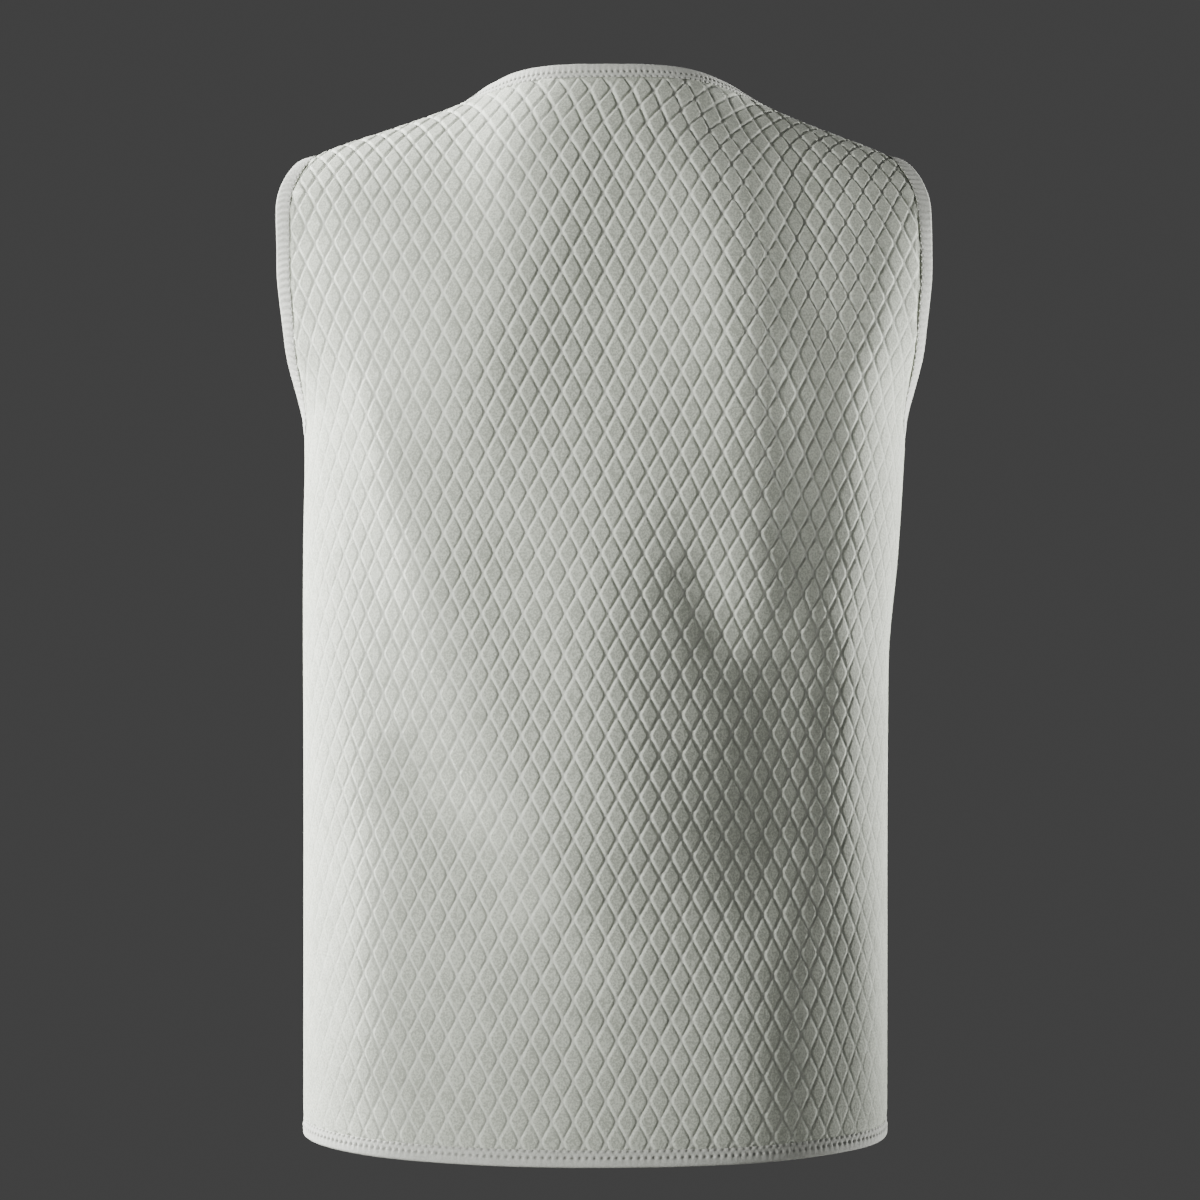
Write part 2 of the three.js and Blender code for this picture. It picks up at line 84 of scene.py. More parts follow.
# Soft folds, each through three points given by x and z; a negative height is a valley
Fold = namedtuple("Fold", "start middle end spread height")
FOLDS = {
    "back": (
        Fold((16, 12), (52, -100), (104, -250), 46, 9),
        Fold((114, -230), (74, -350), (6, -520), 34, 9),
        Fold((132, -385), (90, -440), (22, -510), 26, -7),
        Fold((206, -60), (204, -130), (196, -210), 56, -15),
        Fold((-210, -60), (-208, -130), (-198, -215), 30, -16),
        Fold((-64, 0), (-80, -100), (-94, -270), 28, 5),
        Fold((-112, 0), (-118, -130), (-128, -270), 20, -3),
        Fold((4, -240), (-4, -380), (-30, -510), 44, 10),
        Fold((-84, -250), (-98, -295), (-106, -325), 20, 3),
        Fold((-108, -295), (-118, -400), (-112, -520), 38, -11),
        Fold((-124, -320), (-126, -430), (-124, -550), 26, 4),
        Fold((134, -430), (136, -520), (136, -620), 30, 5),
        Fold((-62, 10), (-74, -90), (-78, -215), 50, 7),
        Fold((-98, -490), (-100, -560), (-100, -650), 45, 5),
        Fold((-48, -270), (-68, -320), (-82, -355), 17, -4.5),
        Fold((-112, -312), (-136, -328), (-160, -352), 20, 3.5),
        Fold((-170, -470), (-174, -560), (-174, -650), 22, 9),
        Fold((152, -150), (126, -239), (92, -330), 17, 3),
        Fold((-104, 5), (-110, -45), (-114, -115), 18, -3),
    ),
    "front": (
        Fold((120, -230), (90, -315), (50, -400), 36, 5),
        Fold((-120, -230), (-90, -325), (-56, -420), 36, 5),
        Fold((-90, -470), (-97, -535), (-100, -600), 32, 4),
        Fold((84, -460), (92, -530), (96, -600), 32, 4),
    ),
}
FOLD_STEPS = 7
FOLD_END_FADE = 0.3
FOLD_END_SHARE = 0.25
# Depth of the form over which the folds fade towards the side and shoulder seams
FOLD_FADE = 45.0

# Quilting: flat diamonds between pressed lines
DIAMOND_WIDTH = 12.75
DIAMOND_HEIGHT = 23.7
DIAMOND_LEVEL = -67.6
GROOVE_HALF = 1.75
GROOVE_DEPTH = 1.3
GROOVE_POWER = 1.4
CORNER_ROUND = 2.8
INSIDE_DEPTH = 0.6
# The lines are shallower where the cloth faces sideways, and near the hem
FLANK_START = 0.4
FLANK_FADE = 0.35
FLANK_SHARE = 0.25
LOW_FADE = 260.0
LOW_SHARE = 0.62
# Rows of vertices at these distances from the middle of a pressed line
OUTSIDE_ROWS = (0, 0.85, 2.1)
INSIDE_ROWS = (0, 2.1)

# Offsets of the padded cloth's two sides, pressed flat under the tapes and rolled in at the side seams
BODY_OUT = 1.85
BODY_IN = -1.5
PRESSED_HALF = 0.5
PRESS_START = 8.8
PRESS_END = 10.8
SEAM_GAP = 0.1
SEAM_ROLL = 0.6
SEAM_ROLL_REACH = 1.8
SEAM_ROLL_TOP = 4.0
# Each corner's shading is read this share of the way to the middle of its triangle
CORNER_SHARE = 0.1

# Binding tape folded round each edge
TAPE_REACH = 9.2
TAPE_OUT = 2.0
TAPE_IN = 1.2
FOLD_REACH = 1.3
LIP_OUT = 1.6
LIP_START = 3.0
LIP_ROUND = 1.0
CREASE = 0.3
# Rows of vertices round the tape, by distance in from the cloth's edge, or by degrees round the fold
TAPE_ROWS = {
    "outside": (TAPE_REACH, 9.05, *np.linspace(8.7, 3.2, 12), *np.linspace(2.4, 0, 4)),
    "fold": (30, 60, 90, 120, 150),
    "inside": (0, 2, 4, 6, 8.2, 9.05),
    "under_inside": (TAPE_REACH, 6, 3, CREASE),
    "under_outside": (CREASE, 3, 5, 7),
}
TAPE_SAMPLE_ROWS = 8
RING_SAMPLES = 161
ARMHOLE_SAMPLES = 121
BASE_COLUMNS = 241
BASE_LOW_ROWS = 111
BASE_HIGH_ROWS = 81
RING_SMOOTHING = 3.0
OUT_SMOOTHING = 6.0
LAID_SMOOTHING = 1.5

# Stitches on the tapes; rows are distances in from the fold, and each next row is shifted by half a pitch
Stitching = namedtuple("Stitching", "pitch rows hole depth rib")
ARMHOLE_STITCHING = Stitching(4.1, (9.7,), 0.8, 0.8, 0.22)
BINDINGS = {
    "hem_binding": Stitching(4.3, (5.9, 9.6), 0.85, 0.8, 0.06),
    "neck_binding": Stitching(3.4, (6.4, 9.8), 0.7, 0.75, 0.06),
    "armhole_binding_left": ARMHOLE_STITCHING,
    "armhole_binding_right": ARMHOLE_STITCHING,
}
STITCH_STEPS = 8
THREAD_HEIGHT = 0.28
THREAD_SHARE = 0.33
THREAD_HALF = 0.55
RIB_START = 1.5
RIB_END = 10.0
RIB_FADE = 2.0

# Cloth looks; a third cloth coordinate picks out the pressed lines, painted paler, partly their own colour
# and partly a painted highlight, and each needle hole, painted dark as painted shade; it starts higher on the
# inside
Weave = namedtuple("Weave", "light dark mark mark_share")
# Each weave's third colour is painted: paler lines on the quilted cloth, partly a painted highlight, and
# painted shade in each needle hole of the tape
WEAVES = {
    "quilted_cloth": Weave((0.725, 0.76, 0.65), (0.475, 0.503, 0.42), (0.835, 0.865, 0.77), 1.0),
    "binding_tape": Weave((0.74, 0.755, 0.69), (0.62, 0.635, 0.57), (0.20, 0.20, 0.18), 0.65),
}
INSIDE_LIGHT = (0.735, 0.745, 0.72)
INSIDE_DARK = (0.51, 0.52, 0.50)
INSIDE_MARK = 2.0
INSIDE_FROM = 1.5
FUZZ = {"Scale": 850.0, "Detail": 2.0, "Roughness": 0.6}
MOTTLE = {"Scale": 60.0, "Detail": 4.0, "Roughness": 0.55}
FUZZ_SHARE = 0.75
GRAIN_RANGE = {"From_Min": 0.42, "From_Max": 0.58}
FUZZ_BUMP = {"Strength": 0.4, "Distance": 0.0006}
CLOTH_SHADER = {"Roughness": 0.9, "Specular IOR Level": 0.25, "Sheen Weight": 0.12, "Sheen Roughness": 0.5}

# Camera, lights and floor, in metres, degrees and watts; a turn is measured from straight behind to the left
CAMERA_DISTANCE = 1.8
CAMERA_HEIGHT = -0.309
CAMERA_LENS = 86.4
SENSOR_WIDTH = 36.0
Light = namedtuple("Light", "name turn rise away aim size spread watts")
LIGHTS = (
    Light("main_light", 57, 10, 2.6, -0.27, (0.8, 1.1), 40, 6.75),
    Light("left_edge_light", 116, 20, 2.2, -0.32, (0.8, 1.1), 40, 21),
    Light("right_edge_light", -119, -7, 2.2, -0.27, (0.6, 0.5), 26, 4.2),
    Light("right_fill_light", -92, -10, 2.4, -0.06, (0.2, 0.2), 12, 0.3),
    Light("front_fill_light", -25, 0, 2.6, -0.4, (0.8, 0.8), 40, 0.17),
)
STUDIO_COLOUR = (0.06, 0.06, 0.06, 1)
FLOOR_COLOUR = (0.72, 0.72, 0.7092, 1)
FLOOR_ROUGHNESS = 0.95
FLOOR_HEIGHT = -1.45
FLOOR_RADIUS = 1.5
FLOOR_SIDES = 128


# Curves, paths and tables

def smooth(t):
    """A soft step from 0 to 1."""
    t = np.clip(t, 0, 1)
    return t * t * (3 - 2 * t)


def blend(low, high, share):
    """A value some share of the way from one to another."""
    return low + (high - low) * share


def unit(vectors):
    """The same directions with a length of 1."""
    return vectors / np.linalg.norm(vectors, axis=-1, keepdims=True)


def follow(table, start, end, at):
    """Reads one column of a table against another, along a smooth curve that never overshoots."""
    x = np.asarray(table[start], float)
    y = np.asarray(table[end], float)
    secant = np.diff(y) / np.diff(x)
    slope = np.concatenate(([secant[0]], np.zeros(len(x) - 2), [secant[-1]]))
    below, above = secant[:-1], secant[1:]
    same = below * above > 0
    slope[1:-1][same] = 2 * (below * above)[same] / (below + above)[same]
    at = np.clip(at, x[0], x[-1])
    row = np.clip(np.searchsorted(x, at) - 1, 0, len(x) - 2)
    span = x[row + 1] - x[row]
    t = (at - x[row]) / span
    bend = slope[row] * t * (1 - t) ** 2 - slope[row + 1] * t * t * (1 - t)
    return y[row] + (y[row + 1] - y[row]) * smooth(t) + span * bend


def table_cell(at, count):
    """The cell of an evenly spaced table that holds each place, and how far into that cell it lies."""
    at = np.clip(at, 0, count - 1)
    cell = np.minimum(at.astype(int), count - 2)
    return cell, at - cell


def read_between(table, row, column):
    """A table's values at places between its rows and columns."""
    i, down = table_cell(row, table.shape[0])
    j, over = table_cell(column, table.shape[1])
    low = blend(table[i, j], table[i, j + 1], over)
    high = blend(table[i + 1, j], table[i + 1, j + 1], over)
    return blend(low, high, down)


def walked(points):
    """How far along a path each of its points lies."""
    steps = np.linalg.norm(np.diff(points, axis=0), axis=1)
    return np.concatenate(([0], np.cumsum(steps)))


def path_distance(x, z, path):
    """How far points lie from a path, and how far along it the nearest place is, from 0 to 1."""
    marks = walked(path)
    nearest = np.full(x.shape, np.inf)
    share = np.zeros(x.shape)
    for (start_x, start_z), (end_x, end_z), begin, finish in zip(path, path[1:], marks, marks[1:]):
        length = finish - begin
        way_x, way_z = (end_x - start_x) / length, (end_z - start_z) / length
        along = np.clip((x - start_x) * way_x + (z - start_z) * way_z, 0, length)
        away = np.hypot(x - start_x - along * way_x, z - start_z - along * way_z)
        closer = away < nearest
        nearest = np.where(closer, away, nearest)
        share = np.where(closer, (begin + along) / marks[-1], share)
    return nearest, share


def bent_path(first, middle, last):
    """Points on a curve that bends through the middle one of three points."""
    first, middle, last = (np.asarray(point, float) for point in (first, middle, last))
    pull = 2 * middle - (first + last) / 2
    t = np.linspace(0, 1, FOLD_STEPS)[:, None]
    return (1 - t) ** 2 * first + 2 * t * (1 - t) * pull + t * t * last


# The form of the cloth

def fold_height(face, x, z):
    """How far the soft folds lift the cloth at places given by x and z."""
    total = np.zeros(x.shape)
    for fold in FOLDS[face]:
        away, share = path_distance(x, z, bent_path(fold.start, fold.middle, fold.end))
        ends = smooth(np.minimum(share, 1 - share) / FOLD_END_FADE)
        total += fold.height * np.exp(-(away / fold.spread) ** 2) * blend(FOLD_END_SHARE, 1, ends)
    return total


class Cloth:
    """The middle of one face's cloth, addressed by distance across from the centre line and by how far up."""

    LEVEL_STEP = 2.0
    LEVEL_MARGIN = 10.0
    ARC_STEPS = 97
    REACH_LIMIT = 330
    COLUMN_SAMPLES = 161
    ACROSS_PROBE = 0.5
    UP_PROBE = 0.004

    def __init__(self, face):
        self.face = face
        lowest, highest = HEM_HEIGHT - self.LEVEL_MARGIN, RIDGE_HEIGHT + self.LEVEL_MARGIN
        self.levels = np.arange(lowest, highest, self.LEVEL_STEP)
        angle = np.linspace(0, QUARTER_TURN, self.ARC_STEPS)
        half_width = follow(SECTIONS, "height", "half_width", self.levels)
        depth = follow(SECTIONS, "height", face, self.levels)
        power = 2 / follow(SECTIONS, "height", "square", self.levels)
        every_millimetre = np.arange(self.REACH_LIMIT)
        wide, deep, reach = [], [], []
        for level_width, level_depth, level_power in zip(half_width, depth, power):
            x = level_width * np.sin(angle) ** level_power
            y = level_depth * np.maximum(np.cos(angle), 0) ** level_power
            along = walked(np.stack([x, y], -1))
            wide.append(np.interp(every_millimetre, along, x))
            deep.append(np.interp(every_millimetre, along, y))
            reach.append(along[-1])
        self.wide, self.deep = np.array(wide), np.array(deep)
        self.reach = np.array(reach)
        self.side_line = float(np.interp(UNDERARM_HEIGHT, self.levels, self.reach))

    def section(self, across, height):
        """Sideways place and depth on the level section at a height, by distance across."""
        row = (height - self.levels[0]) / self.LEVEL_STEP
        return read_between(self.wide, row, across), read_between(self.deep, row, across)

    def point(self, across, up):
        """Points of the cloth: up runs from -1 at the hem through 0 at the underarm to 1 on the shoulder."""
        across, up = np.broadcast_arrays(np.asarray(across, float), np.asarray(up, float))
        angle = np.clip(up, 0, SEAM_UP) * QUARTER_TURN
        ridge = follow(SHOULDER_LINE, "across", "height", np.abs(across))
        height = UNDERARM_HEIGHT + np.minimum(up, 0) * TORSO_HEIGHT
        height = height + (ridge - UNDERARM_HEIGHT) * np.sin(angle)
        stretch = np.where(up <= 0, np.interp(height, self.levels, self.reach) / self.side_line, 1)
        x, depth = self.section(np.abs(across) * stretch, height)
        x = np.sign(across) * x
        depth = depth * np.cos(angle)
        depth = depth + fold_height(self.face, x, height) * smooth(depth / FOLD_FADE)
        x = x + follow(SWAY, "height", "shift", height)
        return np.stack([x, FACING[self.face] * depth, height], -1)

    def directions(self, across, up):
        """Unit directions on the cloth: over it sideways, up it and out of it."""
        over = unit(self.point(across + self.ACROSS_PROBE, up) - self.point(across - self.ACROSS_PROBE, up))
        higher = np.minimum(up + self.UP_PROBE, 1)
        rise = unit(self.point(across, higher) - self.point(across, up - self.UP_PROBE))
        return over, rise, unit(np.cross(rise, over)) * FACING[self.face]

    def column_lengths(self, across):
        """Even steps of up from 0 to 1, and the cloth's length from the underarm to each of them."""
        ups = np.linspace(0, 1, self.COLUMN_SAMPLES)
        return ups, walked(self.point(across, ups))

    def neck_up(self, across):
        """Where the neck edge cuts a column."""
        share = np.clip(np.abs(across) / NECK_HALF_WIDTH, 0, 1)
        reach = (NECK_HEIGHT[self.face] - UNDERARM_HEIGHT) / (RIDGE_HEIGHT - UNDERARM_HEIGHT)
        lowest = np.arcsin(reach) / QUARTER_TURN
        inner, outer = NECK_POWERS[self.face]
        return blend(lowest, 1, 1 - (1 - share ** inner) ** outer)

    def armhole_across(self, up):
        """Where the armhole edge cuts a level."""
        shape = ARMHOLES[self.face]
        rise = ARMHOLE_HEIGHT * np.sin(np.clip(up, 0, 1) * QUARTER_TURN)
        left = 1 - np.minimum(rise / shape["turn"], 1)
        cut = np.sqrt(1 - left ** 2) + shape["scoop"] * np.sin(np.pi * rise / ARMHOLE_HEIGHT)
        tip = TIP_ROUND * smooth((up - TIP_START) / (1 - TIP_START))
        return blend(self.side_line, SHOULDER_HALF_WIDTH, cut) - tip


# Panels

class Cut:
    """The flat cut of one face: tables of how far up its places lie and how far from a bound edge."""

    STEP = 1.5
    EDGE_SAMPLES = 81
    SLOPE_STEP = 0.04
    SIDE_MARGIN = 1.0

    def __init__(self, cloth):
        self.cloth = cloth
        self.half_width = cloth.side_line - SEAM_GAP / 2
        self.cell_width = self.half_width / round(cloth.side_line / DIAMOND_WIDTH)
        self.spacing = 1 / np.hypot(1 / self.cell_width, 1 / DIAMOND_HEIGHT)
        reach = np.ceil(cloth.side_line / self.STEP)
        self.across = np.arange(-reach, reach + 1) * self.STEP
        ups, _ = cloth.column_lengths(0.0)
        columns = [cloth.column_lengths(place)[1] for place in self.across]
        cuts = np.minimum(cloth.neck_up(self.across), 1)
        self.tops = np.array([np.interp(up, ups, lengths) for up, lengths in zip(cuts, columns)])
        longest = max(lengths[-1] for lengths in columns)
        self.along = np.arange(-TORSO_HEIGHT - self.STEP, longest + 2 * self.STEP, self.STEP)
        above = np.stack([np.interp(self.along, lengths, ups) for lengths in columns], -1)
        self.up = np.where(self.along[:, None] <= 0, self.along[:, None] / TORSO_HEIGHT, above)
        across, along = np.meshgrid(self.across, self.along)
        self.edge = self.edge_distance(across, along)
        widest = self.half_width - self.SIDE_MARGIN
        sideways = np.abs(cloth.directions(np.clip(across, -widest, widest), self.up)[2][..., 0])
        self.depth = blend(1, FLANK_SHARE, smooth((sideways - FLANK_START) / FLANK_FADE))
        self.depth *= blend(LOW_SHARE, 1, smooth((along + TORSO_HEIGHT) / LOW_FADE))

    def edge_distance(self, across, along):
        """Cloth distance to the nearest bound edge."""
        neck_across = np.linspace(-NECK_HALF_WIDTH, NECK_HALF_WIDTH, self.EDGE_SAMPLES)
        paths = [np.stack([neck_across, np.interp(neck_across, self.across, self.tops)], -1)]
        ups = np.linspace(0, 1, self.EDGE_SAMPLES) ** 2
        arm_across = self.cloth.armhole_across(ups)
        for side in SIDES.values():
            columns = [self.cloth.column_lengths(side * place) for place in arm_across]
            lengths = [np.interp(up, *column) for up, column in zip(ups, columns)]
            paths.append(np.stack([side * arm_across, lengths], -1))
        near = along + TORSO_HEIGHT
        for path in paths:
            near = np.minimum(near, path_distance(across, along, path)[0])
        return near

    def read(self, table, across, along):
        """A table's values at places of the cut."""
        return read_between(table, (along - self.along[0]) / self.STEP, (across - self.across[0]) / self.STEP)

    def margins(self, across, along):
        """How far places lie inside the side seams, the hem, and the neck, shoulders and armholes."""
        up = self.read(self.up, across, along)
        top = np.interp(across, self.across, self.tops) - along
        arm = self.cloth.armhole_across(up) - np.abs(across)
        return self.half_width - np.abs(across), along + TORSO_HEIGHT, np.minimum(top, arm)

    def line(self, across, along):
        """From 1 on the pressed lines to 0 on the flat of a diamond, with rounded corners.
        It is fainter on the flanks and low down."""
        a = across / self.cell_width
        b = (along - DIAMOND_LEVEL) / DIAMOND_HEIGHT
        away = [np.abs(family % 1 - 0.5) * self.spacing for family in (a + b, a - b)]
        short = [np.maximum(CORNER_ROUND - distance, 0) for distance in away]
        t = np.clip((CORNER_ROUND - np.hypot(*short)) / GROOVE_HALF, 0, 1)
        return (1 - t) ** GROOVE_POWER * self.read(self.depth, across, along)

    def pressed(self, across, along):
        """From 0 under the binding tapes to 1 where the padding is full."""
        return smooth((self.read(self.edge, across, along) - PRESS_START) / (PRESS_END - PRESS_START))

    def relief(self, across, along, outside):
        """Offset of the outer or inner side from the middle of the cloth."""
        line = self.line(across, along)
        pressed = self.pressed(across, along)
        if not outside:
            return blend(-PRESSED_HALF, BODY_IN + INSIDE_DEPTH * line, pressed)
        seam = self.cloth.side_line - np.abs(across)
        roll = SEAM_ROLL * np.exp(-(seam / SEAM_ROLL_REACH) ** 2) * (along <= SEAM_ROLL_TOP)
        return blend(PRESSED_HALF, BODY_OUT - GROOVE_DEPTH * line - roll, pressed)

    def slopes(self, across, along, outside):
        """How steeply the relief rises across and along the cloth."""
        step = self.SLOPE_STEP
        over = self.relief(across + step, along, outside) - self.relief(across - step, along, outside)
        rise = self.relief(across, along + step, outside) - self.relief(across, along - step, outside)
        return over / (2 * step), rise / (2 * step)


def lattice(cut, rows):
    """Vertices on rows at set distances from the pressed lines, with triangles."""
    offsets = np.array(rows) / cut.spacing
    marks = np.unique(np.concatenate([0.5 + offsets, 0.5 - offsets]))
    side = cut.half_width / cut.cell_width
    low, high = (cut.along[[0, -1]] - DIAMOND_LEVEL) / DIAMOND_HEIGHT
    first = (np.arange(np.floor(low - side), np.ceil(high + side))[:, None] + marks).ravel()
    second = (np.arange(np.floor(-side - high), np.ceil(side - low))[:, None] + marks).ravel()
    u, v = np.meshgrid(first, second, indexing="ij")
    values = np.stack([(u + v) / 2 * cut.cell_width, DIAMOND_LEVEL + (u - v) / 2 * DIAMOND_HEIGHT], -1)
    values = values.reshape(-1, 2)
    i, j = np.meshgrid(np.arange(len(first) - 1), np.arange(len(second) - 1), indexing="ij")
    corner = (i * len(second) + j).ravel()
    quads = np.stack([corner, corner + len(second), corner + len(second) + 1, corner + 1], -1)
    beyond = np.stack([values[:, 0] > cut.half_width, values[:, 0] < -cut.half_width,
                       values[:, 1] < -TORSO_HEIGHT, values[:, 1] > cut.along[-1]], -1)
    quads = quads[~beyond[quads].all(1).any(1)]
    return values, np.concatenate([quads[:, [0, 1, 2]], quads[:, [0, 2, 3]]])


def clip(values, margin, triangles):
    """Cuts triangles along the line where the margin is zero. Values holds one row for each vertex."""
    inside = margin > 0
    count = inside[triangles].sum(1)
    kept = [triangles[count == 3]]
    values = list(values)
    made = {}

    def crossing(inner, outer):
        key = (inner, outer)
        if key not in made:
            share = margin[inner] / (margin[inner] - margin[outer])
            made[key] = len(values)
            values.append(blend(values[inner], values[outer], share))
        return made[key]

    extra = []
    for triangle in triangles[(count == 1) | (count == 2)]:
        flags = inside[triangle]
        if flags.sum() == 1:
            a, b, c = np.roll(triangle, -int(np.argmax(flags)))
            extra.append((a, crossing(a, b), crossing(a, c)))
        else:
            a, b, c = np.roll(triangle, -int(np.argmin(flags)))
            on_b, on_c = crossing(b, a), crossing(c, a)
            extra.append((b, c, on_c))
            extra.append((b, on_c, on_b))
    if extra:
        kept.append(np.array(extra))
    triangles = np.concatenate(kept)
    used, flat = np.unique(triangles, return_inverse=True)
    return np.array(values)[used], flat.reshape(triangles.shape)


def boundary_loop(triangles):
    """Vertices round the one open edge of a patch, in order."""
    edges = np.concatenate([triangles[:, [0, 1]], triangles[:, [1, 2]], triangles[:, [2, 0]]])
    known = {tuple(edge) for edge in edges.tolist()}
    after = {a: b for a, b in known if (b, a) not in known}
    start = next(iter(after))
    loop = [start]
    while after[loop[-1]] != start:
        loop.append(after[loop[-1]])
    return np.array(loop)


def zip_loops(outer, inner, places):
    """Triangles between two loops that run the same way, starting from the places nearest each other."""
    def walk(loop):
        lengths = walked(places[np.append(loop, loop[0])])
        return lengths / lengths[-1]

    def started(loop, corner):
        return np.roll(loop, -int(np.argmin(np.abs(places[loop] - corner).sum(1))))

    corner = places[outer][np.argmin(places[outer].sum(1))]
    outer, inner = started(outer, corner), started(inner, corner)
    outer_walk, inner_walk = walk(outer), walk(inner)
    outer, inner = np.append(outer, outer[0]), np.append(inner, inner[0])
    i = j = 0
    triangles = []
    while i < len(outer) - 1 or j < len(inner) - 1:
        if j == len(inner) - 1 or (i < len(outer) - 1 and outer_walk[i + 1] <= inner_walk[j + 1]):
            triangles.append((outer[i + 1], outer[i], inner[j]))
            i += 1
        else:
            triangles.append((inner[j], inner[j + 1], outer[i]))
            j += 1
    return np.array(triangles)


def panel_side(cut, rows, outside):
    """One side of a panel: places, cloth coordinates, triangles and the way that each corner faces."""
    values, triangles = lattice(cut, rows)
    for edge in range(3):
        values, triangles = clip(values, cut.margins(*values.T)[edge], triangles)
    if outside == (cut.cloth.face == "front"):
        triangles = triangles[:, ::-1]
    across, along = values.T
    up = cut.read(cut.up, across, along)
    over, rise, out = cut.cloth.directions(across, up)
    places = cut.cloth.point(across, up) + out * cut.relief(across, along, outside)[:, None]
    corners = values[triangles]
    inside = blend(corners, corners.mean(1, keepdims=True), CORNER_SHARE)
    slope_over, slope_rise = cut.slopes(inside[..., 0], inside[..., 1], outside)
    tilt = slope_over[..., None] * over[triangles] + slope_rise[..., None] * rise[triangles]
    facing = unit(out[triangles] - tilt) * (1 if outside else -1)
    # The third coordinate carries the pressed lines for their paler colour, partly their own and partly a
    # painted highlight
    line = cut.line(across, along) * cut.pressed(across, along)
    note = np.stack([across, along, line + (0 if outside else INSIDE_MARK)], -1)
    return places, note, triangles, facing.reshape(-1, 3)


def new_piece(name, places, faces, note, material):
    """A mesh object in metres, with its cloth coordinates for the material to read."""
    mesh = bpy.data.meshes.new(name)
    mesh.from_pydata((places * MM).tolist(), [], faces.tolist())
    cloth = mesh.attributes.new("cloth", "FLOAT_VECTOR", "POINT")
    cloth.data.foreach_set("vector", note.astype(np.float32).ravel())
    mesh.materials.append(material)
    mesh.shade_smooth()
    piece = bpy.data.objects.new(name, mesh)
    bpy.context.scene.collection.objects.link(piece)
    return piece


def panel(cloth, material):
    """One whole panel, quilted outside, shallow inside and closed by a rim, with its flat size and area."""
    cut = Cut(cloth)
    outer_places, outer_note, outer_triangles, outer_facing = panel_side(cut, OUTSIDE_ROWS, True)
    inner_places, inner_note, inner_triangles, inner_facing = panel_side(cut, INSIDE_ROWS, False)
    inner_triangles = inner_triangles + len(outer_places)
    places = np.concatenate([outer_places, inner_places])
    note = np.concatenate([outer_note, inner_note])
    rim = zip_loops(boundary_loop(outer_triangles), boundary_loop(inner_triangles)[::-1], note[:, :2])
    triangles = np.concatenate([outer_triangles, inner_triangles, rim])
    piece = new_piece("quilted_" + cloth.face, places, triangles, note, material)
    # Zero vectors leave the rim's shading to its own faces
    facing = np.concatenate([outer_facing, inner_facing, np.zeros((rim.size, 3))])
    piece.data.normals_split_custom_set(facing.tolist())
    flat = outer_note[outer_triangles][:, :, :2]
    one, two = flat[:, 1] - flat[:, 0], flat[:, 2] - flat[:, 0]
    cut_area = np.abs(one[:, 0] * two[:, 1] - one[:, 1] * two[:, 0]).sum() / 2
    size = (np.ptp(outer_note[:, 0]) * MM, np.ptp(outer_note[:, 1]) * MM)
    return piece, size, cut_area * MM * MM


# Bindings

def ring_smooth(values, spread):
    """Values round a ring, averaged over their neighbours."""
    turns = np.fft.fftfreq(len(values))[:, None]
    keep = np.exp(-2 * (np.pi * turns * spread) ** 2)
    return np.real(np.fft.ifft(np.fft.fft(values, axis=0) * keep, axis=0))


def ring_path(points, pitch):
    """A closed path of evenly spaced points, a whole number of stitches long, with its small kinks smoothed
    away, and its length."""
    closed = np.vstack([points, points[:1]])
    lengths = walked(closed)
    steps = int(round(lengths[-1] / pitch)) * STITCH_STEPS
    at = np.arange(steps) * lengths[-1] / steps
    even = np.stack([np.interp(at, lengths, closed[:, axis]) for axis in range(3)], -1)
    return ring_smooth(even, RING_SMOOTHING * steps / lengths[-1]), lengths[-1]


def closed_ring(edges):
    """The back's edge one way and the front's the other, without the ends that they share."""
    back, front = edges
    return np.vstack([back, front[-2:0:-1]])


def edge_rings(clothes):
    """The four bound edges as closed rings of cloth points."""
    turn = np.linspace(-1, 1, RING_SAMPLES)
    across = NECK_HALF_WIDTH * np.sin(turn * QUARTER_TURN)
    up = np.linspace(0, 1, ARMHOLE_SAMPLES) ** 2
    rings = {"neck_binding": closed_ring([cloth.point(across, cloth.neck_up(across)) for cloth in clothes])}
    for side, sign in SIDES.items():
        edges = [cloth.point(sign * cloth.armhole_across(up), up) for cloth in clothes]
        rings["armhole_binding_" + side] = closed_ring(edges)
    rings["hem_binding"] = closed_ring([cloth.point(turn * cloth.side_line, -1.0) for cloth in clothes])
    return rings


def base_tree(clothes):
    """Both faces of the uncut cloth, for laying the tapes on it."""
    up = np.concatenate([np.linspace(-1, 0, BASE_LOW_ROWS), np.linspace(0, 1, BASE_HIGH_ROWS)[1:]])
    places, faces = [], []
    for number, cloth in enumerate(clothes):
        across = np.linspace(-cloth.side_line, cloth.side_line, BASE_COLUMNS)
        grid = cloth.point(*np.meshgrid(across, up))
        rows, columns = grid.shape[:2]
        j, i = np.meshgrid(np.arange(rows - 1), np.arange(columns - 1), indexing="ij")
        corner = (number * rows * columns + j * columns + i).ravel()
        faces.append(np.stack([corner, corner + 1, corner + columns + 1, corner + columns], -1))
        places.append(grid.reshape(-1, 3))
    return BVHTree.FromPolygons(np.concatenate(places).tolist(), np.concatenate(faces).tolist())


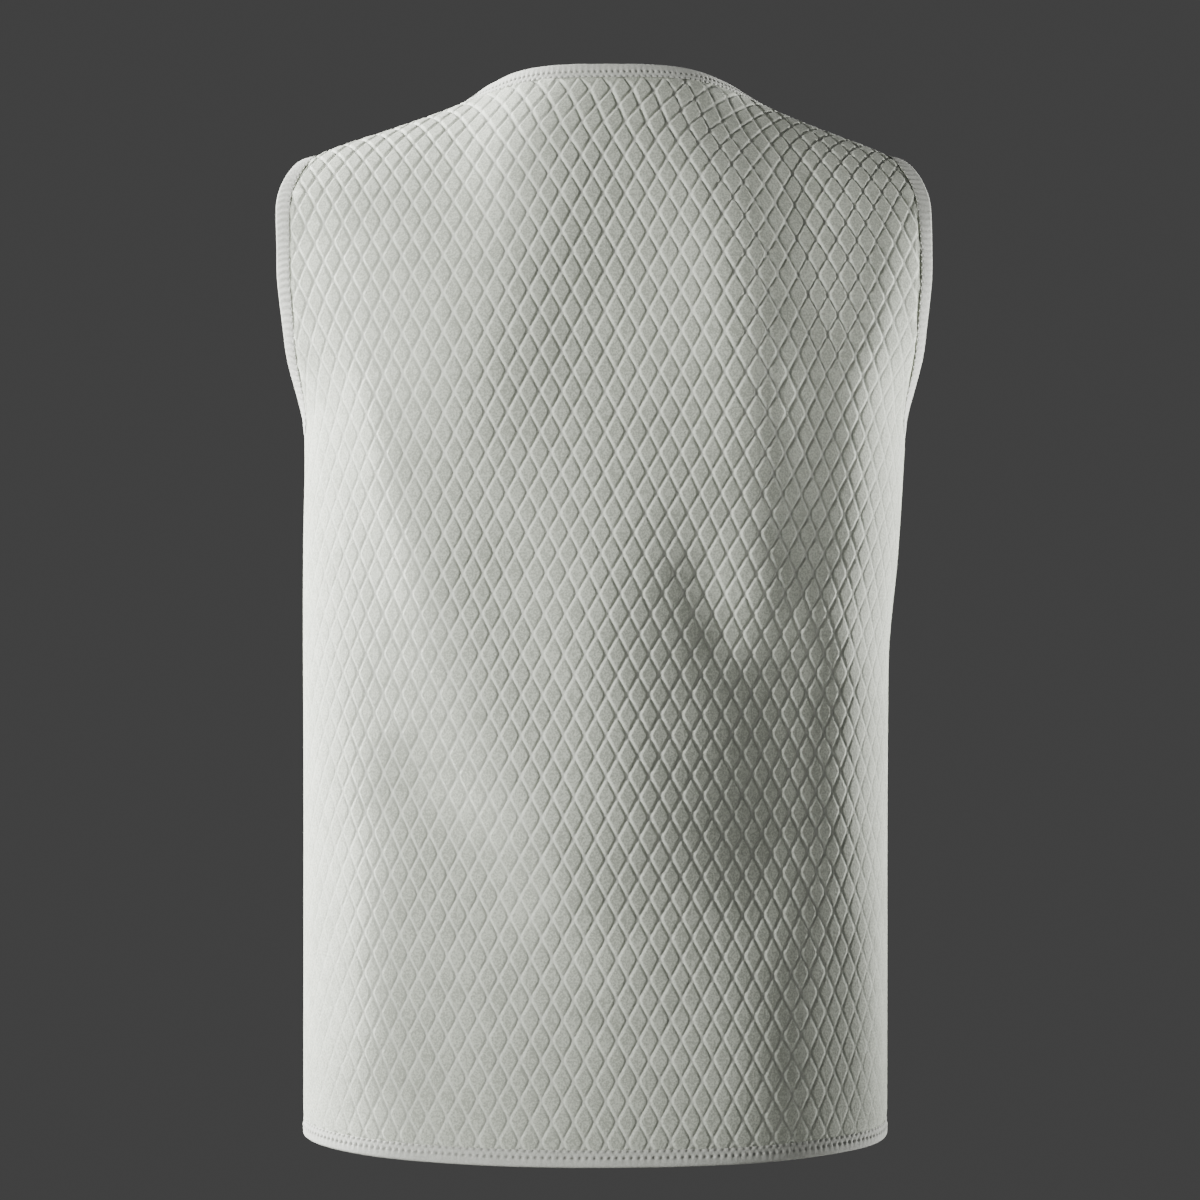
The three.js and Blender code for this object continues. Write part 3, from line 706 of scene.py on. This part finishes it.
def tape_profile():
    """Rows round the tape's section from the outer lip over the fold to the inner lip and back inside:
    distance in from the cloth's edge, offset from the cloth's middle, and whether it shows outside."""
    rows = []
    for into in TAPE_ROWS["outside"]:
        past_round = max(into - (TAPE_REACH - LIP_ROUND), 0) / LIP_ROUND
        crown = blend(TAPE_OUT, LIP_OUT, smooth((into - LIP_START) / (TAPE_REACH - LIP_START)))
        rows.append((into, TAPE_IN + (crown - TAPE_IN) * np.sqrt(1 - past_round ** 2), True))
    for degrees in TAPE_ROWS["fold"]:
        turn = np.radians(degrees)
        rows.append((-FOLD_REACH * np.sin(turn), TAPE_OUT * np.cos(turn), False))
    rows += [(into, -TAPE_OUT, False) for into in TAPE_ROWS["inside"]]
    rows += [(into, -TAPE_IN, False) for into in TAPE_ROWS["under_inside"]]
    rows.append((-CREASE, 0.0, False))
    rows += [(into, TAPE_IN, False) for into in TAPE_ROWS["under_outside"]]
    return rows


def tape_relief(along, from_fold, length, shape):
    """Lift of the tape's outer face by needle hole dimples, threads and ribs, and a mask of each needle hole
    for its painted shade.
    """
    pitch = length / round(length / shape.pitch)
    lift = np.zeros(along.shape)
    # Where each needle hole gets its painted shade
    hole_shade = np.zeros(along.shape)
    for number, row in enumerate(shape.rows):
        phase = (along / pitch + number / 2) % 1
        from_hole = np.minimum(phase, 1 - phase) * pitch
        from_row = from_fold - row
        hole = np.exp(-(from_hole / shape.hole) ** 2 - (from_row / shape.hole) ** 2)
        thread = np.exp(-((phase - 0.5) / THREAD_SHARE) ** 2 - (from_row / THREAD_HALF) ** 2)
        hole_shade = np.maximum(hole_shade, hole)
        lift += THREAD_HEIGHT * thread - shape.depth * hole
    fade = smooth((from_fold - RIB_START) / RIB_FADE) * smooth((RIB_END - from_fold) / RIB_FADE)
    return lift - shape.rib * np.cos(2 * np.pi * along / pitch) * fade, hole_shade


def tape_directions(name, path, length, tree):
    """Unit directions at each place on a bound edge: out of the cloth, and from the edge into the cloth."""
    tangent = unit(np.roll(path, -1, 0) - np.roll(path, 1, 0))
    out = np.array([tree.find_nearest(Vector(point))[1] for point in path])
    away = path - np.array([0, 0, BODY_MIDDLE])
    if name != "neck_binding":
        away[:, 2] = 0
    out *= np.sign((out * away).sum(1))[:, None]
    out = unit(ring_smooth(out, OUT_SMOOTHING * len(path) / length))
    out = unit(out - (out * tangent).sum(1)[:, None] * tangent)
    into = np.cross(out, tangent)
    guide = np.array([0, 0, 1]) if name == "hem_binding" else path - path.mean(0)
    return out, into * np.sign((into * guide).sum())


def lay_tape(path, out, into, length, tree):
    """Rows of points on the cloth from its edge inwards, and the way that the cloth faces at each of them."""
    laid = [path]
    for depth in np.linspace(0, TAPE_REACH, TAPE_SAMPLE_ROWS)[1:]:
        nearest = np.array([tree.find_nearest(Vector(point))[0] for point in path + into * depth])
        laid.append(ring_smooth(nearest, LAID_SMOOTHING * len(path) / length))
    laid = np.array(laid)
    inwards = np.gradient(laid, axis=0)
    onwards = np.roll(laid, -1, 1) - np.roll(laid, 1, 1)
    lean = unit(np.cross(inwards, onwards))
    return laid, lean * np.sign((lean * out).sum())


def wrapped_quads(rows, steps):
    """Faces of a grid whose last row and last step join its first ones."""
    row, step = np.meshgrid(np.arange(rows) * steps, np.arange(steps), indexing="ij")
    next_row, next_step = np.roll(row, -1, 0), np.roll(step, -1, 1)
    return np.stack([row + step, row + next_step, next_row + next_step, next_row + step], -1).reshape(-1, 4)


def signed_volume(places, quads):
    """Six times the volume inside closed faces, negative where they face inwards."""
    a, b, c, d = (places[quads[:, corner]] for corner in range(4))
    return (np.cross(b - a, c - a) * a).sum() + (np.cross(c - a, d - a) * a).sum()


def binding(name, ring, tree, material):
    """A tape folded round one edge of the vest, with its flat size."""
    shape = BINDINGS[name]
    path, length = ring_path(ring, shape.pitch)
    steps = len(path)
    out, into = tape_directions(name, path, length, tree)
    laid, lean = lay_tape(path, out, into, length, tree)
    along = np.arange(steps) * length / steps
    places, note = [], []
    profile = tape_profile()
    for distance, offset, shows in profile:
        at = np.clip(distance, 0, TAPE_REACH) / TAPE_REACH * (TAPE_SAMPLE_ROWS - 1)
        low = min(int(at), TAPE_SAMPLE_ROWS - 2)
        base = blend(laid[low], laid[low + 1], at - low) + into * min(distance, 0)
        normal = unit(blend(lean[low], lean[low + 1], at - low))
        from_fold = np.full(steps, distance + FOLD_REACH)
        lift, hole_shade = tape_relief(along, from_fold, length, shape)
        soften = np.sqrt(np.clip((offset - TAPE_IN) / (TAPE_OUT - TAPE_IN), 0, 1)) * shows
        places.append(base + normal * (offset + lift * soften)[:, None])
        # The third coordinate carries the painted shade of each needle hole
        note.append(np.stack([along, from_fold, hole_shade * shows], -1))
    places = np.concatenate(places)
    quads = wrapped_quads(len(profile), steps)
    if signed_volume(places, quads) < 0:
        quads = quads[:, ::-1]
    piece = new_piece(name.replace("binding", "tape"), places, quads, np.concatenate(note), material)
    width = 2 * (TAPE_REACH + TAPE_OUT)
    return piece, (width * MM, length * MM)


# Materials

class Nodes:
    """Short calls for adding linked nodes to one material."""

    def __init__(self, name):
        self.material = bpy.data.materials.new(name)
        self.material.use_nodes = True
        self.tree = self.material.node_tree
        self.shader = self.tree.nodes["Principled BSDF"]

    def add(self, kind, settings=None, **inputs):
        """A node with its settings made and its inputs linked or set."""
        node = self.tree.nodes.new(kind)
        for key, value in (settings or {}).items():
            setattr(node, key, value)
        for key, value in inputs.items():
            self.feed(node.inputs[key.replace("_", " ")], value)
        return node

    def feed(self, socket, value):
        """Links another node's output to a socket, or sets a plain value on it."""
        if isinstance(value, bpy.types.NodeSocket):
            self.tree.links.new(value, socket)
        else:
            socket.default_value = value

    def math(self, operation, first, second):
        """The output of a sum on two values."""
        node = self.add("ShaderNodeMath", {"operation": operation})
        self.feed(node.inputs[0], first)
        self.feed(node.inputs[1], second)
        return node.outputs[0]

    def mix(self, share, first, second):
        """A colour some share of the way from one to another."""
        node = self.add("ShaderNodeMix", {"data_type": "RGBA"})
        self.feed(node.inputs["Factor"], share)
        self.feed(node.inputs["A"], first)
        self.feed(node.inputs["B"], second)
        return node.outputs["Result"]


def cloth_material(name):
    """Pale knit with fine uneven grain and soft fuzz. Where the third cloth coordinate rises it is painted:
    paler on the pressed lines, partly their own colour and partly a painted highlight, and dark in each
    needle hole of the tape, which is painted shade. The inside of the cloth has a more neutral grey."""
    weave = WEAVES[name]
    nodes = Nodes(name)
    place = nodes.add("ShaderNodeAttribute", {"attribute_name": "cloth"})
    third = nodes.add("ShaderNodeSeparateXYZ", Vector=place.outputs["Vector"]).outputs["Z"]
    body = nodes.add("ShaderNodeTexCoord").outputs["Object"]
    fuzz = nodes.add("ShaderNodeTexNoise", Vector=body, **FUZZ).outputs["Fac"]
    mottle = nodes.add("ShaderNodeTexNoise", Vector=body, **MOTTLE).outputs["Fac"]
    both = nodes.math("ADD", nodes.math("MULTIPLY", fuzz, FUZZ_SHARE),
                      nodes.math("MULTIPLY", mottle, 1 - FUZZ_SHARE))
    tone = nodes.add("ShaderNodeMapRange", Value=both, **GRAIN_RANGE).outputs["Result"]
    inside = nodes.math("GREATER_THAN", third, INSIDE_FROM)
    line = nodes.math("SUBTRACT", third, nodes.math("MULTIPLY", inside, INSIDE_MARK))
    outer_grain = nodes.mix(tone, (*weave.dark, 1), (*weave.light, 1))
    inner_grain = nodes.mix(tone, (*INSIDE_DARK, 1), (*INSIDE_LIGHT, 1))
    grain = nodes.mix(inside, outer_grain, inner_grain)
    # Paler pressed lines, partly a painted highlight, and painted shade in each needle hole of the tape
    colour = nodes.mix(nodes.math("MULTIPLY", line, weave.mark_share), grain, (*weave.mark, 1))
    bump = nodes.add("ShaderNodeBump", Height=fuzz, **FUZZ_BUMP)
    nodes.feed(nodes.shader.inputs["Base Color"], colour)
    nodes.feed(nodes.shader.inputs["Normal"], bump.outputs["Normal"])
    for socket, value in CLOTH_SHADER.items():
        nodes.shader.inputs[socket].default_value = value
    return nodes.material


# Stage

def add_floor():
    """A pale round floor, well below the vest."""
    bpy.ops.mesh.primitive_circle_add(
        vertices=FLOOR_SIDES, radius=FLOOR_RADIUS, fill_type="NGON", location=(0, 0, FLOOR_HEIGHT))
    floor = bpy.context.active_object
    floor.name = "floor"
    nodes = Nodes("pale_floor")
    nodes.shader.inputs["Base Color"].default_value = FLOOR_COLOUR
    nodes.shader.inputs["Roughness"].default_value = FLOOR_ROUGHNESS
    floor.data.materials.append(nodes.material)


def add_light(row):
    """A soft rectangular light that looks at a height on the vest's middle line."""
    turn, rise = np.radians(row.turn), np.radians(row.rise)
    way = Vector((np.sin(turn) * np.cos(rise), np.cos(turn) * np.cos(rise), np.sin(rise)))
    lamp = bpy.data.lights.new(row.name, "AREA")
    lamp.shape = "RECTANGLE"
    lamp.size, lamp.size_y = row.size
    lamp.energy = row.watts
    lamp.spread = np.radians(row.spread)
    light = bpy.data.objects.new(row.name, lamp)
    light.location = Vector((0, 0, row.aim)) + way * row.away
    light.rotation_euler = (-way).to_track_quat("-Z", "Y").to_euler()
    light.visible_camera = False
    bpy.context.scene.collection.objects.link(light)


def add_camera():
    """A level camera straight behind the vest, as in the photograph."""
    lens = bpy.data.cameras.new("photo_camera")
    lens.lens, lens.sensor_width = CAMERA_LENS, SENSOR_WIDTH
    camera = bpy.data.objects.new("photo_camera", lens)
    camera.location = (0, CAMERA_DISTANCE, CAMERA_HEIGHT)
    camera.rotation_euler = (QUARTER_TURN, 0, 2 * QUARTER_TURN)
    bpy.context.scene.collection.objects.link(camera)
    bpy.context.scene.camera = camera


def add_world():
    """An even dark grey all round."""
    world = bpy.data.worlds.new("studio")
    world.use_nodes = True
    world.node_tree.nodes["Background"].inputs["Color"].default_value = STUDIO_COLOUR
    bpy.context.scene.world = world


# Making the vest

clothes = [Cloth(face) for face in FACES]
quilted = cloth_material("quilted_cloth")
tape = cloth_material("binding_tape")

for cloth in clothes:
    piece, cut, cut_area = panel(cloth, quilted)
    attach(piece, "root")
    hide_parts(cloth.face + "_panel")

tree = base_tree(clothes)
for name, ring in edge_rings(clothes).items():
    piece, cut = binding(name, ring, tree, tape)
    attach(piece, "root")
    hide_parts(name)

add_floor()
add_world()
add_camera()
for row in LIGHTS:
    add_light(row)
